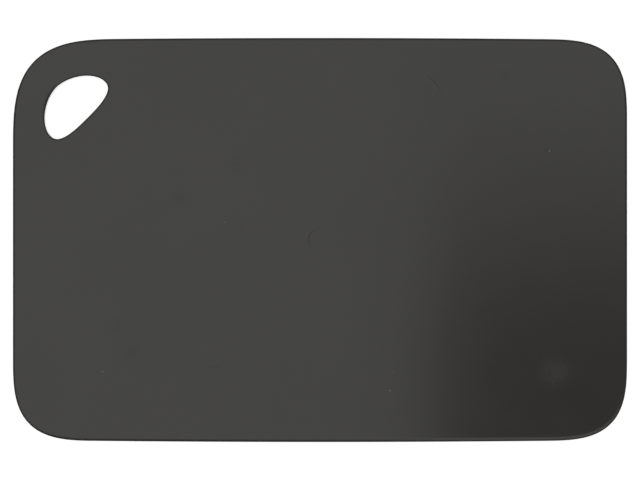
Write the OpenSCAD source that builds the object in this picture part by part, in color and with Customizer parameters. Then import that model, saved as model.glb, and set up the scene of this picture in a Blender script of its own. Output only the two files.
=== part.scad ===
// Flexible cutting mat: one moulded sheet, the same on both faces, with a full rounded edge and a thumb
// hole in its back left corner. The sheet bends, so it is divided across its width: a flat hand zone at
// each long side, and between them a row of narrow bands, each turning a little against the next.
// All lengths are in millimetres and all angles in degrees. The origin is on the underside, at the centre.

/* [Sheet] */
// Length of the mat, along X
mat_length = 380; // [300:1:460]
// Width of the mat, along Y
mat_width = 250; // [220:1:330]
// Thickness of the sheet
mat_thickness = 2.5; // [1.5:0.1:4]
// How far each long side draws in from its middle to its ends
side_bow = 1.3; // [0:0.1:3]

/* [Corners] */
// How far the three plain corners reach along each side
corner_reach = 52; // [25:1:60]
// How far the larger corner beside the thumb hole reaches along each side
hole_corner_reach = 68; // [40:1:75]
// Squareness of the corners, where 2 is a plain ellipse
corner_power = 3.2; // [2:0.1:4]

/* [Rounded edge] */
// Width of the rounding along the sides of the mat, seen from above
edge_width = 3; // [1:0.1:5]
// Width of the rounding round the thumb hole, seen from above
hole_edge_width = 2; // [0.5:0.1:4]

/* [Thumb hole] */
// Distance from the hole's centre to the left edge
hole_from_left = 39.7; // [34:0.1:60]
// Distance from the hole's centre to the back edge
hole_from_back = 43.5; // [36:0.1:50]
// Angle of the hole's length from the long sides
hole_angle = 45; // [30:1:60]
// Half of the hole's length
hole_half_length = 23.8; // [15:0.1:27]
// Depth of the hole from its centre towards the corner
hole_outer_depth = 18.4; // [8:0.1:20]
// Depth of the hole from its centre towards the middle of the mat
hole_inner_depth = 8.7; // [4:0.1:14]
// Squareness of the hole's side towards the corner
hole_outer_power = 1.73; // [1.5:0.01:3]
// Squareness of the hole's side towards the middle of the mat
hole_inner_power = 2.84; // [1.5:0.01:4]

/* [Gate mark] */
// Diameter of the shallow round mark that moulding leaves at the centre of the top face
gate_diameter = 15; // [6:0.5:24]
// Depth of the gate mark
gate_depth = 0.1; // [0.05:0.01:0.3]

/* [Bending] */
// Number of bands between the two hand zones, which is odd so that one lies in the middle
band_count = 11; // [5:2:15]
// Most that two neighbours turn against each other
hinge_turn = 12.5; // [5:0.5:20]

/* [Hidden] */
// Air between the meeting ridges of two neighbours, and the angle left free beyond their turn
seam_gap = 0.04;
seam_free_turn = 0.5;
// Straight side left between a corner, or the rounding of the hole, and the first seam
seam_margin = 0.7;
hole_margin = 3;
// Steps of the rounded edge from its crest to each face, of the corners, the bowed sides and the hole
edge_steps = 5;
corner_steps = 24;
hole_corner_steps = 28;
side_steps = 8;
hole_steps = 56;
// How far a cutting shape reaches past what it cuts
past = 1;

mid_height = mat_thickness / 2;
hole_centre = [hole_from_left - mat_length / 2, mat_width / 2 - hole_from_back];
hole_front_edge = mat_width / 2 - min([for (p = hole_outline()) p.y]) + hole_edge_width + hole_margin;
hand_zone_depth = max(hole_corner_reach + side_bow, corner_reach + side_bow, hole_front_edge) + seam_margin;
band_depth = (mat_width - 2 * hand_zone_depth) / band_count;
middle_band = (band_count + 1) / 2;
// Every seam face leans back from its ridge at mid height by half the turn and half the free angle
seam_lean = tan((hinge_turn + seam_free_turn) / 2);

mat_grey = [0.2, 0.2, 0.195];
hand_zone_grey = [0.24, 0.24, 0.235];

function band_name(i) = str("bend_band_", i < 10 ? "0" : "", i);

// Seam 0 is the front edge of the back hand zone, and seam i the front edge of band i
function seam_y(i) = band_depth * (band_count / 2 - i);

// Point at an angle on a rounded square of half size 1
function on_power_curve(angle, power) =
    [cos(angle), sin(angle)] / pow(pow(abs(cos(angle)), power) + pow(abs(sin(angle)), power), 1 / power);

// A corner of the mat, from one side to the next, turned on by quarter turns from the back right one
function corner_points(quarter, reach, steps) =
    let (
        sx = quarter == 0 || quarter == 3 ? 1 : -1,
        sy = quarter < 2 ? 1 : -1,
        centre = [sx * (mat_length / 2 - reach), sy * (mat_width / 2 - reach)]
    )
    [for (i = [0 : steps]) centre + reach * on_power_curve(90 * (quarter + i / steps), corner_power)];

// Points along a long side, without its ends
function side_points(from_x, to_x, y) =
    [for (i = [1 : side_steps - 1]) [from_x + (to_x - from_x) * i / side_steps, y]];

// The long sides bow, as every point is drawn in by its share of the distance from the middle
function bowed(p) = [p.x, p.y * (1 - side_bow / (mat_width / 2) * pow(p.x / (mat_length / 2), 2))];

function mat_outline() =
    let (
        right = mat_length / 2 - corner_reach,
        back_left = hole_corner_reach - mat_length / 2,
        front_left = corner_reach - mat_length / 2
    )
    [for (p = concat(
        corner_points(0, corner_reach, corner_steps),
        side_points(right, back_left, mat_width / 2),
        corner_points(1, hole_corner_reach, hole_corner_steps),
        corner_points(2, corner_reach, corner_steps),
        side_points(front_left, right, -mat_width / 2),
        corner_points(3, corner_reach, corner_steps)
    )) bowed(p)];

function hole_outline() =
    [for (i = [0 : hole_steps - 1])
        let (
            angle = 360 * i / hole_steps,
            outer = angle < 180,
            p = on_power_curve(angle, outer ? hole_outer_power : hole_inner_power),
            along = hole_half_length * p.x,
            across = (outer ? hole_outer_depth : hole_inner_depth) * p.y
        )
        hole_centre + [
            along * cos(hole_angle) - across * sin(hole_angle),
            along * sin(hole_angle) + across * cos(hole_angle)
        ]];

// The outline moved to its left by a distance, which is inwards where it runs anticlockwise
function moved_in(points, distance) =
    let (n = len(points))
    [for (i = [0 : n - 1])
        let (
            step = points[(i + 1) % n] - points[(i + n - 1) % n],
            along = step / norm(step)
        )
        points[i] + distance * [-along.y, along.x]];

// Half an ellipse from the underside to the top face, as [distance in from the crest, height]
function edge_profile(width) =
    [for (k = [-edge_steps : edge_steps])
        let (angle = 90 * k / edge_steps)
        [width * (1 - cos(angle)), mid_height * (1 + sin(angle))]];

// A closed solid through rings of equally many points, each ring flat at its own height
module stacked_rings(rings) {
    n = len(rings[0]);
    last = len(rings) - 1;
    points = [for (ring = rings) each ring];
    walls = [for (k = [0 : last - 1], i = [0 : n - 1])
        let (a = k * n + i, b = k * n + (i + 1) % n)
        each [[a, a + n, b], [b, a + n, b + n]]];
    bottom = [for (i = [0 : n - 1]) i];
    top = [for (i = [n - 1 : -1 : 0]) last * n + i];
    polyhedron(points, concat([bottom], walls, [top]));
}

function at_height(points, z) = [for (p = points) [p.x, p.y, z]];

// The whole sheet without its hole
module rounded_sheet() {
    outline = mat_outline();
    stacked_rings([for (level = edge_profile(edge_width)) at_height(moved_in(outline, level.x), level.y)]);
}

// The space of the thumb hole, narrowest at mid height and flared to both faces
module thumb_hole() {
    outline = hole_outline();
    profile = edge_profile(hole_edge_width);
    levels = concat(
        [[hole_edge_width, -past]],
        profile,
        [[hole_edge_width, mat_thickness + past]]
    );
    stacked_rings([for (level = levels) at_height(moved_in(outline, -level.x), level.y)]);
}

// The mat's cross-section at its bands, which run straight from one short side to the other
module band_section() {
    profile = edge_profile(edge_width);
    right = [for (p = profile) [mat_length / 2 - p.x, p.y]];
    left = [for (k = [len(profile) - 1 : -1 : 0]) [profile[k].x - mat_length / 2, profile[k].y]];
    polygon(concat(right, left));
}

// All that lies between two seams, drawn as a prism along X with a leaning face at each seam
module between_seams(front_y, back_y) {
    lean = seam_lean * (mid_height + past);
    front = front_y + seam_gap / 2;
    back = back_y - seam_gap / 2;
    rotate([90, 0, 90])
        linear_extrude(mat_length + 2 * past, center = true)
            polygon([
                [front, mid_height],
                [front + lean, -past],
                [back - lean, -past],
                [back, mid_height],
                [back - lean, mat_thickness + past],
                [front + lean, mat_thickness + past]
            ]);
}

module gate_mark() {
    translate([0, 0, mat_thickness - gate_depth])
        cylinder(h = gate_depth + past, d = gate_diameter, $fn = 96);
}

module back_hand_zone() {
    color(hand_zone_grey)
        difference() {
            intersection() {
                rounded_sheet();
                between_seams(seam_y(0), mat_width);
            }
            thumb_hole();
        }
}

module front_hand_zone() {
    color(hand_zone_grey)
        intersection() {
            rounded_sheet();
            between_seams(-mat_width, seam_y(band_count));
        }
}

module bend_band(i) {
    color(mat_grey)
        difference() {
            intersection() {
                rotate([90, 0, 0])
                    linear_extrude(mat_width, center = true)
                        band_section();
                between_seams(seam_y(i), seam_y(i - 1));
            }
            if (abs(i - middle_band) * band_depth < (gate_diameter + band_depth) / 2)
                gate_mark();
        }
}

back_hand_zone();
for (i = [1 : band_count])
    bend_band(i);
front_hand_zone();
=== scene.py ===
"""Flexible cutting mat: one moulded sheet with a rounded edge and a thumb hole, dressed in satin plastic.

The sheet is modelled whole and cut at the middle of each bending band. Each piece spans one hinge,
and neighbours meet at the middle of a band.
"""
import math

import bpy
import numpy as np
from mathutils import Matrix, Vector


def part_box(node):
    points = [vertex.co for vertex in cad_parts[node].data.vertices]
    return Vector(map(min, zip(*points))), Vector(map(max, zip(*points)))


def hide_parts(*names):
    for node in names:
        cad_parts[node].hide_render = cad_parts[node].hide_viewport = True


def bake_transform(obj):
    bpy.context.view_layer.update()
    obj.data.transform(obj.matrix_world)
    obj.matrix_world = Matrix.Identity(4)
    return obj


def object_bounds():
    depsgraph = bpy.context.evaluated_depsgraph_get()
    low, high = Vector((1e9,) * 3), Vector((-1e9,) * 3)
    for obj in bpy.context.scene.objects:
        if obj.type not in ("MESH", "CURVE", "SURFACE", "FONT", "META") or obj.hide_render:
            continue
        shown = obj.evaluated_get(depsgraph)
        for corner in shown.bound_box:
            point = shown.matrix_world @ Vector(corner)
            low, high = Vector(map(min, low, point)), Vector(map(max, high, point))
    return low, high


bl_info = {
    "name": "Flexible Cutting Mat",
    "version": (1, 0, 0),
    "blender": (4, 5, 0),
    "location": "3D View > Sidebar > Cutting Mat",
    "description": "Models a flexible moulded cutting mat, its satin finish and a plain studio",
    "category": "Object",
}

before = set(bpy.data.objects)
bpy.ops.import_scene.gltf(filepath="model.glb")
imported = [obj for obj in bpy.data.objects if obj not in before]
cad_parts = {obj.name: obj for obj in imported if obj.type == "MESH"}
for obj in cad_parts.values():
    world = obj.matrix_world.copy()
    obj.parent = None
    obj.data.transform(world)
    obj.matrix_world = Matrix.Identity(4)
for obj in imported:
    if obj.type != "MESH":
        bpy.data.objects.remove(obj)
CAD_LOW, CAD_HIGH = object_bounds()
MAT_SIZE = CAD_HIGH - CAD_LOW
MID_HEIGHT = MAT_SIZE.z / 2
HAND_ZONES = ("back_hand_zone", "front_hand_zone")
BANDS = sorted(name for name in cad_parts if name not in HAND_ZONES)
# From the back long side to the front one, as the hinges join them
ZONES = [HAND_ZONES[0], *BANDS, HAND_ZONES[1]]

MATERIAL_NAME = "satin_mat_plastic"
# Each point keeps its place on the flat mat, so that the marks stay put while the mat bends
REST_PLACE = "rest_place"

# Places in the photograph are in pixels from its top left, and the mat's length spans this many of them
PHOTO_LENGTH_PX = 614
PHOTO_CENTRE_PX = (320.0, 239.8)
PIXEL = MAT_SIZE.x / PHOTO_LENGTH_PX

# Scratches: start pixel, end pixel, bulge as a share of the length, half width in metres
DEEP_SCRATCHES = (
    ((420, 71), (444, 100), -0.1, 0.0006),
    ((205, 366), (223, 364), 0.08, 0.0006),
)
FAINT_SCRATCHES = (
    ((424, 122), (441, 127), -0.1, 0.0004),
    ((168, 196), (190, 199), 0.06, 0.0004),
    ((124, 362), (138, 340), 0.05, 0.0004),
    ((350, 62), (376, 58), 0.05, 0.0003),
)
FAINT_SHARE = 0.45
SCRATCH_DEPTH = 0.00004
# Rubbed patches and light specks: pixel, radius in metres
SCUFFS = (
    ((180, 198), 0.010),
    ((133, 352), 0.009),
    ((118, 326), 0.008),
    ((237, 165), 0.008),
    ((237, 228), 0.006),
    ((505, 75), 0.006),
)
# A rubbed patch that has no match in the photograph
ADDED_SCUFF = ((555, 372), 0.016)
SPECKS = (
    ((103, 371), 0.0006),
    ((549, 151), 0.0007),
    ((390, 390), 0.0006),
    ((225, 222), 0.0005),
    ((393, 372), 0.0004),
)
# Uneven places: pixel, radius in metres
HOLE_RIPPLES = ((38, 105), 0.035)
CORNER_RIPPLES = ((578, 402), 0.045)

SPECK_COLOUR = (0.55, 0.53, 0.5, 1)
SCRATCH_COLOUR = (0.006, 0.006, 0.006, 1)
WHITE = (1, 1, 1, 1)
# Most of a noise texture's values lie between these
NOISE_RANGE = (0.3, 0.7)


class MatShape(bpy.types.PropertyGroup):
    """Sizes of the moulded sheet"""

    corner_reach: bpy.props.FloatProperty(
        name="Corner reach", description="How far the three plain corners reach along each side",
        default=0.052, min=0.01, unit="LENGTH")
    hole_corner_reach: bpy.props.FloatProperty(
        name="Hole corner reach", description="How far the corner beside the thumb hole reaches",
        default=0.068, min=0.01, unit="LENGTH")
    corner_power: bpy.props.FloatProperty(
        name="Corner squareness", description="2 is a plain ellipse, more is squarer",
        default=3.2, min=2.0, max=5.0)
    side_bow: bpy.props.FloatProperty(
        name="Side bow", description="How far each long side draws in towards its ends",
        default=0.0013, min=0.0, unit="LENGTH")
    edge_width: bpy.props.FloatProperty(
        name="Edge rounding", description="Width of the rounding of the outer edge and of the hole",
        default=0.003, min=0.0005, unit="LENGTH")
    hole_from_left: bpy.props.FloatProperty(
        name="Hole from left", description="Hole centre to the left edge", default=0.0397, unit="LENGTH")
    hole_from_back: bpy.props.FloatProperty(
        name="Hole from back", description="Hole centre to the back edge", default=0.0435, unit="LENGTH")
    hole_angle: bpy.props.FloatProperty(
        name="Hole angle", description="Angle of the hole's length from the long sides",
        default=math.radians(45), subtype="ANGLE")
    hole_half_length: bpy.props.FloatProperty(
        name="Hole half length", description="Half of the hole's length", default=0.0238, unit="LENGTH")
    hole_outer_depth: bpy.props.FloatProperty(
        name="Hole outer depth", description="From the hole's centre towards the corner",
        default=0.0184, unit="LENGTH")
    hole_inner_depth: bpy.props.FloatProperty(
        name="Hole inner depth", description="From the hole's centre towards the middle of the mat",
        default=0.0087, unit="LENGTH")
    hole_outer_power: bpy.props.FloatProperty(
        name="Hole outer squareness", description="Squareness of the side towards the corner", default=1.73)
    hole_inner_power: bpy.props.FloatProperty(
        name="Hole inner squareness", description="Squareness of the side towards the middle", default=2.84)
    gate_diameter: bpy.props.FloatProperty(
        name="Gate mark diameter", description="Shallow round mark of moulding at the centre of the face",
        default=0.015, unit="LENGTH")
    gate_slope: bpy.props.FloatProperty(
        name="Gate mark slope", description="Width of the slope round the gate mark", default=0.0012,
        unit="LENGTH")
    gate_depth: bpy.props.FloatProperty(
        name="Gate mark depth", description="Depth of the gate mark", default=0.00012, unit="LENGTH")


class MatFinish(bpy.types.PropertyGroup):
    """Colour and surface of the plastic"""

    colour: bpy.props.FloatVectorProperty(
        name="Plastic colour", description="Dark, slightly warm grey of the plastic",
        default=(0.0245, 0.0228, 0.0213), size=3, subtype="COLOR", min=0.0, max=1.0)
    roughness: bpy.props.FloatProperty(
        name="Roughness", description="Satin roughness of the moulded face", default=0.2, min=0.0, max=1.0,
        subtype="FACTOR")
    grain_depth: bpy.props.FloatProperty(
        name="Grain depth", description="Depth of the fine moulded grain", default=0.000002, unit="LENGTH")
    wave_depth: bpy.props.FloatProperty(
        name="Wave depth", description="Height of the slow unevenness of the sheet", default=0.0002,
        unit="LENGTH")


class MatStudio(bpy.types.PropertyGroup):
    """Camera and soft lights"""

    lens: bpy.props.FloatProperty(name="Lens", description="Focal length in millimetres", default=50.0)
    sensor: bpy.props.FloatProperty(name="Sensor", description="Sensor width in millimetres", default=36.0)
    picture_width: bpy.props.IntProperty(
        name="Picture width", description="Width of the photograph in pixels", default=640, subtype="PIXEL")
    panel_height: bpy.props.FloatProperty(
        name="Panel height", description="Height of the soft panels over the floor", default=1.2,
        unit="LENGTH")
    sky_glow: bpy.props.FloatProperty(
        name="Sky glow", description="Brightness of the room between the panels", default=0.25)
    floor_shade: bpy.props.FloatProperty(
        name="Floor shade", description="Paleness of the floor", default=0.8, subtype="FACTOR")
    floor_reflected: bpy.props.FloatProperty(
        name="Floor in reflections", description="Paleness of the floor that the mat reflects", default=0.1,
        subtype="FACTOR")
    floor_lift: bpy.props.FloatProperty(
        name="Floor lift", description="Glow that brings the floor to white for the camera", default=0.55)


def deselect_all():
    if bpy.context.object and bpy.context.object.mode != "OBJECT":
        bpy.ops.object.mode_set(mode="OBJECT")
    bpy.ops.object.select_all(action="DESELECT")


def only(obj):
    deselect_all()
    obj.select_set(True)
    bpy.context.view_layer.objects.active = obj


def edit_all():
    """Open the active mesh for editing with every point selected."""
    bpy.ops.object.mode_set(mode="EDIT")
    bpy.ops.mesh.select_mode(type="VERT")
    bpy.ops.mesh.select_all(action="SELECT")


def turn_faces_outwards():
    bpy.ops.mesh.select_all(action="SELECT")
    bpy.ops.mesh.normals_make_consistent(inside=False)
    bpy.ops.object.mode_set(mode="OBJECT")


def power_curve(angle, power):
    """Point at an angle on a rounded square of half size 1."""
    c, s = math.cos(angle), math.sin(angle)
    size = (abs(c) ** power + abs(s) ** power) ** (1 / power)
    return np.array([c, s]) / size


def mat_outline(shape, corner_steps=48, side_steps=12):
    """The crest of the mat's edge, anticlockwise from the right side, with its long sides bowed."""
    half = np.array([MAT_SIZE.x, MAT_SIZE.y]) / 2
    signs = ((1, 1), (-1, 1), (-1, -1), (1, -1))
    hole_corner = (-1, 1)
    reaches = [shape.hole_corner_reach if sign == hole_corner else shape.corner_reach for sign in signs]
    points = []
    for quarter, (sign, reach) in enumerate(zip(signs, reaches)):
        centre = np.array(sign) * (half - reach)
        turns = [math.pi / 2 * (quarter + i / corner_steps) for i in range(corner_steps + 1)]
        points += [centre + reach * power_curve(turn, shape.corner_power) for turn in turns]
        # A long side follows the first and the third corner
        if quarter in (0, 2):
            start = points[-1]
            stop = np.array([-sign[0] * (half[0] - reaches[quarter + 1]), start[1]])
            points += [start + (stop - start) * i / side_steps for i in range(1, side_steps)]
    bow = shape.side_bow / half[1]
    return [(x, y * (1 - bow * (x / half[0]) ** 2)) for x, y in points]


def hole_outline(shape, steps=96):
    """The narrowest line of the thumb hole."""
    centre = np.array([CAD_LOW.x + shape.hole_from_left, MAT_SIZE.y / 2 - shape.hole_from_back])
    along = np.array([math.cos(shape.hole_angle), math.sin(shape.hole_angle)])
    across = np.array([-along[1], along[0]])
    points = []
    for i in range(steps):
        outer = i < steps / 2
        power = shape.hole_outer_power if outer else shape.hole_inner_power
        depth = shape.hole_outer_depth if outer else shape.hole_inner_depth
        p = power_curve(2 * math.pi * i / steps, power)
        points.append(centre + along * shape.hole_half_length * p[0] + across * depth * p[1])
    return points


def ring_of_edges(name, points):
    """A circle whose points are moved onto an outline, at height 0."""
    deselect_all()
    bpy.ops.mesh.primitive_circle_add(vertices=len(points), radius=0.1)
    ring = bpy.context.object
    ring.name = name
    for vertex, (x, y) in zip(ring.data.vertices, points):
        vertex.co = (x, y, 0)
    return ring


def edge_steps(width, half_height, steps=12):
    """(inset, rise) of each step of the rounded edge, from its crest to the face."""
    turns = [math.pi / 2 * i / steps for i in range(steps + 1)]
    profile = [(width * (1 - math.cos(turn)), half_height * math.sin(turn)) for turn in turns]
    return [(b[0] - a[0], b[1] - a[1]) for a, b in zip(profile, profile[1:])]


def model_sheet(shape):
    """The whole closed sheet, filled between its outline and its hole and rounded by a row of insets."""
    sheet = ring_of_edges("whole_sheet", mat_outline(shape))
    hole = ring_of_edges("hole_ring", hole_outline(shape))
    only(sheet)
    hole.select_set(True)
    bpy.ops.object.join()
    edit_all()
    bpy.ops.mesh.fill(use_beauty=True)
    turn_faces_outwards()
    if sheet.data.polygons[0].normal.z < 0:
        sheet.data.flip_normals()
    edit_all()
    # A last flat ring keeps the shading of the rounded edge off the face
    holding_ring = (0.0003, 0)
    for inset, rise in [*edge_steps(shape.edge_width, MID_HEIGHT), holding_ring]:
        bpy.ops.mesh.inset(use_boundary=True, use_even_offset=True, thickness=inset, depth=rise)
    bpy.ops.object.mode_set(mode="OBJECT")
    mirror = sheet.modifiers.new("underside", "MIRROR")
    mirror.use_axis = (False, False, True)
    mirror.merge_threshold = 0.000001
    bpy.ops.object.modifier_apply(modifier=mirror.name)
    sheet.location = (0, 0, CAD_LOW.z + MID_HEIGHT)
    bpy.ops.object.transform_apply(location=True, rotation=False, scale=False)
    edit_all()
    turn_faces_outwards()
    return sheet


def cut_across(y, **keep):
    """Cut the edited mesh along a line parallel to the long sides."""
    bpy.ops.mesh.select_all(action="SELECT")
    bpy.ops.mesh.bisect(plane_co=(0, y, 0), plane_no=(0, 1, 0), threshold=0.0000001, **keep)


def store_rest_place(piece):
    place = piece.data.attributes.new(REST_PLACE, "FLOAT_VECTOR", "POINT")
    points = np.zeros(len(piece.data.vertices) * 3, np.float32)
    piece.data.vertices.foreach_get("co", points)
    place.data.foreach_set("vector", points)


def cut_piece(sheet, name, front_y, back_y, strip_lines):
    """A closed copy of the sheet between two lines across it, with fine strips where it bends."""
    only(sheet)
    bpy.ops.object.duplicate()
    piece = bpy.context.object
    piece.name = name
    edit_all()
    if front_y is not None:
        cut_across(front_y, use_fill=True, clear_inner=True)
    if back_y is not None:
        cut_across(back_y, use_fill=True, clear_outer=True)
    bpy.ops.mesh.select_all(action="SELECT")
    # Flat faces become one, so that the strips run straight across them
    bpy.ops.mesh.dissolve_limited(angle_limit=math.radians(0.02))
    for y in strip_lines:
        cut_across(y)
    turn_faces_outwards()
    bpy.ops.object.shade_smooth_by_angle(angle=math.radians(30))
    store_rest_place(piece)
    piece.data.materials.clear()
    piece.data.materials.append(bpy.data.materials[MATERIAL_NAME])
    return piece


def seam_y(index):
    """The line between a zone and the next one, numbered from the back."""
    back_low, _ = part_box(ZONES[index])
    _, front_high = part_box(ZONES[index + 1])
    return (back_low.y + front_high.y) / 2


def dress_hinge(sheet, index, strips=16):
    """The piece of sheet that spans one hinge, from mid band to mid band or out to a long side."""
    back, front = ZONES[index], ZONES[index + 1]
    first, last = index == 0, index == len(ZONES) - 2
    half_band = (seam_y(0) - seam_y(1)) / 2
    start_y = seam_y(index) + half_band
    end_y = seam_y(index) - half_band
    # The piece's own ends need no strip line
    numbers = range(0 if last else 1, strips + 1 if first else strips)
    strip_lines = [end_y + 2 * half_band * i / strips for i in numbers]
    name = f"bend_panel_{index:02d}"
    if first:
        name = "back_hand_panel"
    if last:
        name = "front_hand_panel"
    piece = cut_piece(sheet, name, None if last else end_y, None if first else start_y, strip_lines)
    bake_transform(piece)
    if last:
        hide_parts(back, front)
    else:
        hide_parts(back)


class Nodes:
    """Short names for the shader nodes of one material."""

    def __init__(self, tree):
        self.tree = tree
        tree.nodes.clear()

    def add(self, kind, **values):
        node = self.tree.nodes.new(kind)
        for key, value in values.items():
            setattr(node, key, value)
        return node

    def link(self, source, target):
        self.tree.links.new(source, target)

    def math(self, operation, a, b=None, clamp=False):
        node = self.add("ShaderNodeMath", operation=operation, use_clamp=clamp)
        for socket, value in zip(node.inputs, (a, b)):
            if value is None:
                continue
            if isinstance(value, (int, float)):
                socket.default_value = value
            else:
                self.link(value, socket)
        return node.outputs[0]

    def total(self, *values):
        result = values[0]
        for value in values[1:]:
            result = self.math("ADD", result, value)
        return result

    def strongest(self, marks):
        result = marks[0]
        for mark in marks[1:]:
            result = self.math("MAXIMUM", result, mark)
        return result

    def remap(self, value, source, target, smooth=False):
        """A value between two limits, moved to between two others."""
        node = self.add("ShaderNodeMapRange", interpolation_type="SMOOTHSTEP" if smooth else "LINEAR")
        for socket, limit in zip(("From Min", "From Max", "To Min", "To Max"), (*source, *target)):
            node.inputs[socket].default_value = limit
        self.link(value, node.inputs["Value"])
        return node.outputs["Result"]

    def noise(self, place, scale, detail, roughness=0.5, stretch=None):
        if stretch is not None:
            mapping = self.add("ShaderNodeMapping")
            mapping.inputs["Scale"].default_value = stretch
            self.link(place, mapping.inputs["Vector"])
            place = mapping.outputs["Vector"]
        node = self.add("ShaderNodeTexNoise")
        node.inputs["Scale"].default_value = scale
        node.inputs["Detail"].default_value = detail
        node.inputs["Roughness"].default_value = roughness
        self.link(place, node.inputs["Vector"])
        return node.outputs["Fac"]

    def distance(self, place, point):
        """Distance from a point of the top face."""
        node = self.add("ShaderNodeVectorMath", operation="DISTANCE")
        self.link(place, node.inputs[0])
        node.inputs[1].default_value = (*point, CAD_HIGH.z)
        return node.outputs["Value"]

    def near(self, place, point, radius):
        """1 at a point of the face, falling smoothly to 0 at a radius from it."""
        return self.remap(self.distance(place, point), (radius, 0), (0, 1), smooth=True)

    def mixed(self, share, first, second):
        """A colour turned by a share towards a fixed one."""
        node = self.add("ShaderNodeMix", data_type="RGBA")
        self.link(share, node.inputs["Factor"])
        self.link(first, node.inputs["A"])
        node.inputs["B"].default_value = second
        return node.outputs["Result"]


def on_face(pixel):
    """The place on the mat that a pixel of the photograph shows."""
    return (pixel[0] - PHOTO_CENTRE_PX[0]) * PIXEL, (PHOTO_CENTRE_PX[1] - pixel[1]) * PIXEL


def spot(nodes, place, mark):
    pixel, radius = mark
    return nodes.near(place, on_face(pixel), radius)


def scratch(nodes, place, start_px, end_px, bulge, half_width):
    """A thin arc between two pixels, fading at its ends."""
    start, end = Vector(on_face(start_px)), Vector(on_face(end_px))
    chord = end - start
    half = chord.length / 2
    sag = abs(bulge) * chord.length
    radius = (half * half + sag * sag) / (2 * sag)
    to_centre = Vector((-chord.y, chord.x)).normalized() * math.copysign(radius - sag, bulge)
    middle = (start + end) / 2
    from_centre = nodes.distance(place, tuple(middle + to_centre))
    off_line = nodes.math("ABSOLUTE", nodes.math("SUBTRACT", from_centre, radius))
    line = nodes.math("SUBTRACT", 1.0, nodes.math("DIVIDE", off_line, half_width), clamp=True)
    fade_radius = half * 1.15
    return nodes.math("MULTIPLY", line, nodes.near(place, tuple(middle), fade_radius))


def all_scratches(nodes, place):
    deep = [scratch(nodes, place, *line) for line in DEEP_SCRATCHES]
    faint = [nodes.math("MULTIPLY", scratch(nodes, place, *line), FAINT_SHARE) for line in FAINT_SCRATCHES]
    return nodes.strongest(deep + faint)


def gate_mark(nodes, place, shape):
    """Depth of the round mark where the mould was filled: a flat floor with a soft slope round it."""
    from_origin = nodes.add("ShaderNodeVectorMath", operation="LENGTH")
    nodes.link(place, from_origin.inputs[0])
    radius, half_slope = shape.gate_diameter / 2, shape.gate_slope / 2
    return nodes.remap(from_origin.outputs["Value"], (radius + half_slope, radius - half_slope),
                       (0, shape.gate_depth), smooth=True)


def plastic_colour(nodes, place, finish, scratches):
    """Dark grey with a faint mottle, light specks and darker scratches."""
    clouds = nodes.math("MULTIPLY", nodes.noise(place, 14, 3), 0.6)
    mottle = nodes.math("MULTIPLY", nodes.noise(place, 900, 2), 0.4)
    shade = nodes.remap(nodes.total(clouds, mottle), NOISE_RANGE, (0.92, 1.08))
    tint = nodes.add("ShaderNodeVectorMath", operation="SCALE")
    tint.inputs[0].default_value = tuple(finish.colour)
    nodes.link(shade, tint.inputs["Scale"])
    specks = nodes.strongest([spot(nodes, place, mark) for mark in SPECKS])
    dusty = nodes.mixed(nodes.math("MULTIPLY", specks, 0.3), tint.outputs["Vector"], SPECK_COLOUR)
    return nodes.mixed(nodes.math("MULTIPLY", scratches, 0.9, clamp=True), dusty, SCRATCH_COLOUR)


def plastic_roughness(nodes, place, finish, scratches):
    """Satin, a little uneven, and rougher where it is rubbed or scratched."""
    least, most = finish.roughness * 0.93, finish.roughness * 1.07
    satin = nodes.remap(nodes.noise(place, 60, 4, 0.6), NOISE_RANGE, (least, most))
    scuffs = nodes.strongest([spot(nodes, place, mark) for mark in (*SCUFFS, ADDED_SCUFF)])
    rubbed = nodes.math("MULTIPLY", scuffs, nodes.noise(place, 420, 3, 0.6), clamp=True)
    worn_rise = 0.25
    return nodes.total(satin, nodes.math("MULTIPLY", rubbed, worn_rise),
                       nodes.math("MULTIPLY", scratches, worn_rise))


def plastic_relief(nodes, place, finish, shape, scratches):
    """Height of the slow waves, two uneven places, the moulded grain, the scratches and the gate mark."""
    hole_ripples = nodes.math("MULTIPLY", nodes.noise(place, 70, 2, stretch=(1.0, 0.7, 1.0)),
                              spot(nodes, place, HOLE_RIPPLES))
    corner_ripples = nodes.math("MULTIPLY", nodes.noise(place, 90, 2, stretch=(1.4, 0.8, 1.0)),
                                spot(nodes, place, CORNER_RIPPLES))
    height = nodes.total(
        nodes.math("MULTIPLY", nodes.noise(place, 9, 1), finish.wave_depth),
        nodes.math("MULTIPLY", hole_ripples, finish.wave_depth * 3.0),
        nodes.math("MULTIPLY", corner_ripples, finish.wave_depth * 1.3),
        nodes.math("MULTIPLY", nodes.noise(place, 2600, 2, 0.6), finish.grain_depth),
        nodes.math("MULTIPLY", nodes.noise(place, 700, 2, 0.6), finish.grain_depth * 1.5),
        nodes.math("MULTIPLY", scratches, -SCRATCH_DEPTH),
    )
    return nodes.math("SUBTRACT", height, gate_mark(nodes, place, shape))


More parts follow.
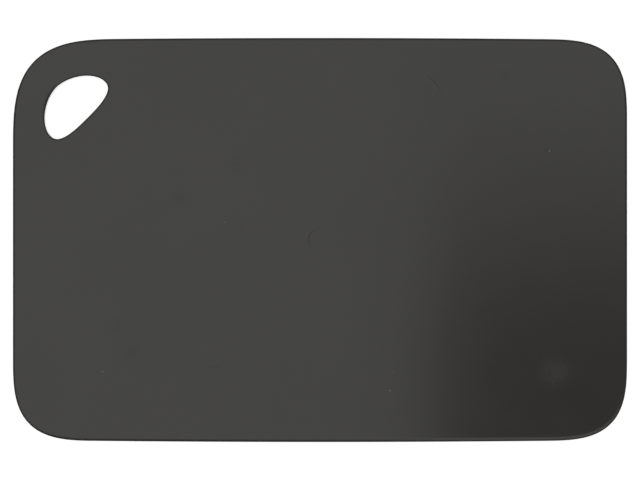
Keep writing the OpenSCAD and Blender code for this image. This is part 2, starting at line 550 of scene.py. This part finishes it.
def mat_material(finish, shape):
    """Satin moulded plastic, patterned by each point's place on the flat mat."""
    material = bpy.data.materials.new(MATERIAL_NAME)
    material.use_nodes = True
    nodes = Nodes(material.node_tree)
    place = nodes.add("ShaderNodeAttribute", attribute_name=REST_PLACE).outputs["Vector"]
    shader = nodes.add("ShaderNodeBsdfPrincipled")
    shader.inputs["IOR"].default_value = 1.5
    output = nodes.add("ShaderNodeOutputMaterial")
    nodes.link(shader.outputs["BSDF"], output.inputs["Surface"])
    scratches = all_scratches(nodes, place)
    nodes.link(plastic_colour(nodes, place, finish, scratches), shader.inputs["Base Color"])
    nodes.link(plastic_roughness(nodes, place, finish, scratches), shader.inputs["Roughness"])
    bump = nodes.add("ShaderNodeBump")
    bump.inputs["Strength"].default_value = 1.0
    bump.inputs["Distance"].default_value = 1.0
    nodes.link(plastic_relief(nodes, place, finish, shape, scratches), bump.inputs["Height"])
    nodes.link(bump.outputs["Normal"], shader.inputs["Normal"])


def floor_material(studio):
    """Pale floor that takes the mat's shadow, shows white to the camera and is dim in reflections."""
    material = bpy.data.materials.new("pale_floor")
    material.use_nodes = True
    nodes = Nodes(material.node_tree)
    output = nodes.add("ShaderNodeOutputMaterial")
    diffuse = nodes.add("ShaderNodeBsdfDiffuse")
    glow = nodes.add("ShaderNodeEmission")
    glow.inputs["Color"].default_value = WHITE
    rays = nodes.add("ShaderNodeLightPath")
    dimmed = nodes.math("MULTIPLY", rays.outputs["Is Glossy Ray"],
                        studio.floor_shade - studio.floor_reflected)
    nodes.link(nodes.math("SUBTRACT", studio.floor_shade, dimmed), diffuse.inputs["Color"])
    nodes.link(nodes.math("MULTIPLY", rays.outputs["Is Camera Ray"], studio.floor_lift),
               glow.inputs["Strength"])
    both = nodes.add("ShaderNodeAddShader")
    nodes.link(diffuse.outputs["BSDF"], both.inputs[0])
    nodes.link(glow.outputs["Emission"], both.inputs[1])
    nodes.link(both.outputs["Shader"], output.inputs["Surface"])
    return material


def lay_floor(studio):
    deselect_all()
    bpy.ops.mesh.primitive_circle_add(vertices=96, radius=8, fill_type="NGON", location=(0, 0, 0))
    floor = bpy.context.object
    floor.name = "floor"
    floor.data.materials.append(floor_material(studio))


def light_room(studio):
    """A dim room that the camera sees as white."""
    world = bpy.data.worlds.new("room")
    bpy.context.scene.world = world
    world.use_nodes = True
    nodes = Nodes(world.node_tree)
    output = nodes.add("ShaderNodeOutputWorld")
    room = nodes.add("ShaderNodeBackground")
    room.inputs["Color"].default_value = WHITE
    rays = nodes.add("ShaderNodeLightPath")
    seen = nodes.math("MULTIPLY", rays.outputs["Is Camera Ray"], 1 - studio.sky_glow)
    nodes.link(nodes.math("ADD", seen, studio.sky_glow), room.inputs["Strength"])
    nodes.link(room.outputs["Background"], output.inputs["Surface"])


def soft_panel(name, low, high, height, brightness):
    """A soft panel that shines down, between two corners seen from above."""
    data = bpy.data.lights.new(name, "AREA")
    data.shape = "RECTANGLE"
    data.size, data.size_y = high[0] - low[0], high[1] - low[1]
    data.energy = math.pi * data.size * data.size_y * brightness
    panel = bpy.data.objects.new(name, data)
    panel.location = ((low[0] + high[0]) / 2, (low[1] + high[1]) / 2, height)
    panel.visible_camera = False
    bpy.context.scene.collection.objects.link(panel)


def hang_panels(height):
    """A wide panel over the left, and over the right a front one and a fading back one."""
    left, split, right = -1.5, 0.23, 1.4
    far_back = 1.3
    soft_panel("left_panel", (left, -1.1), (split, far_back), height, 0.86)
    soft_panel("front_panel", (split, -1.7), (right, -0.56), height, 0.8)
    # Back edge and brightness of each strip of the fading panel, and the front edge of the last
    fade = ((far_back, 0.8), (0.29, 0.72), (0.18, 0.57), (0.06, 0.36), (-0.06, 0.15))
    last_front = -0.18
    fronts = (*(back for back, _ in fade[1:]), last_front)
    for number, ((back, brightness), front) in enumerate(zip(fade, fronts), 1):
        soft_panel(f"back_panel_{number}", (split, front), (right, back), height, brightness)


def place_camera(studio):
    """Straight above the mat, at the distance where its length spans what it does in the photograph."""
    data = bpy.data.cameras.new("camera")
    data.lens = studio.lens
    data.sensor_width = studio.sensor
    data.clip_start, data.clip_end = 0.01, 50
    camera = bpy.data.objects.new("camera", data)
    distance = studio.lens / studio.sensor * studio.picture_width * PIXEL
    camera.location = (0, 0, MID_HEIGHT + distance)
    bpy.context.scene.collection.objects.link(camera)
    bpy.context.scene.camera = camera


class MAT_OT_sheet(bpy.types.Operator):
    """Model the moulded sheet and cut it into the panels that reach from band to band"""

    bl_idname = "cutting_mat.sheet"
    bl_label = "Moulded Sheet"

    def execute(self, context):
        scene = context.scene
        mat_material(scene.mat_finish, scene.mat_shape)
        sheet = model_sheet(scene.mat_shape)
        for index in range(len(ZONES) - 1):
            dress_hinge(sheet, index)
        bpy.data.objects.remove(sheet)
        return {"FINISHED"}


class MAT_OT_studio(bpy.types.Operator):
    """Set up the pale floor, the soft panels and the camera straight above the mat"""

    bl_idname = "cutting_mat.studio"
    bl_label = "Studio"

    def execute(self, context):
        studio = context.scene.mat_studio
        lay_floor(studio)
        light_room(studio)
        hang_panels(studio.panel_height)
        place_camera(studio)
        context.scene.view_settings.view_transform = "Standard"
        return {"FINISHED"}


class MAT_PT_panel(bpy.types.Panel):
    """Sidebar panel with the mat's sizes, finish and steps"""

    bl_label = "Cutting Mat"
    bl_idname = "MAT_PT_panel"
    bl_space_type = "VIEW_3D"
    bl_region_type = "UI"
    bl_category = "Cutting Mat"

    def draw(self, context):
        for group_name in GROUPS:
            group = getattr(context.scene, group_name)
            column = self.layout.column(align=True)
            for name in group.__annotations__:
                column.prop(group, name)
        for operator in (MAT_OT_sheet, MAT_OT_studio):
            self.layout.operator(operator.bl_idname)


GROUPS = {"mat_shape": MatShape, "mat_finish": MatFinish, "mat_studio": MatStudio}
CLASSES = (MAT_OT_sheet, MAT_OT_studio, MAT_PT_panel)


def register():
    for name, group in GROUPS.items():
        bpy.utils.register_class(group)
        setattr(bpy.types.Scene, name, bpy.props.PointerProperty(type=group))
    for cls in CLASSES:
        bpy.utils.register_class(cls)


def unregister():
    for cls in reversed(CLASSES):
        bpy.utils.unregister_class(cls)
    for name, group in GROUPS.items():
        delattr(bpy.types.Scene, name)
        bpy.utils.unregister_class(group)


def main():
    register()
    bpy.ops.cutting_mat.sheet()
    bpy.ops.cutting_mat.studio()


if __name__ == "__main__":
    main()
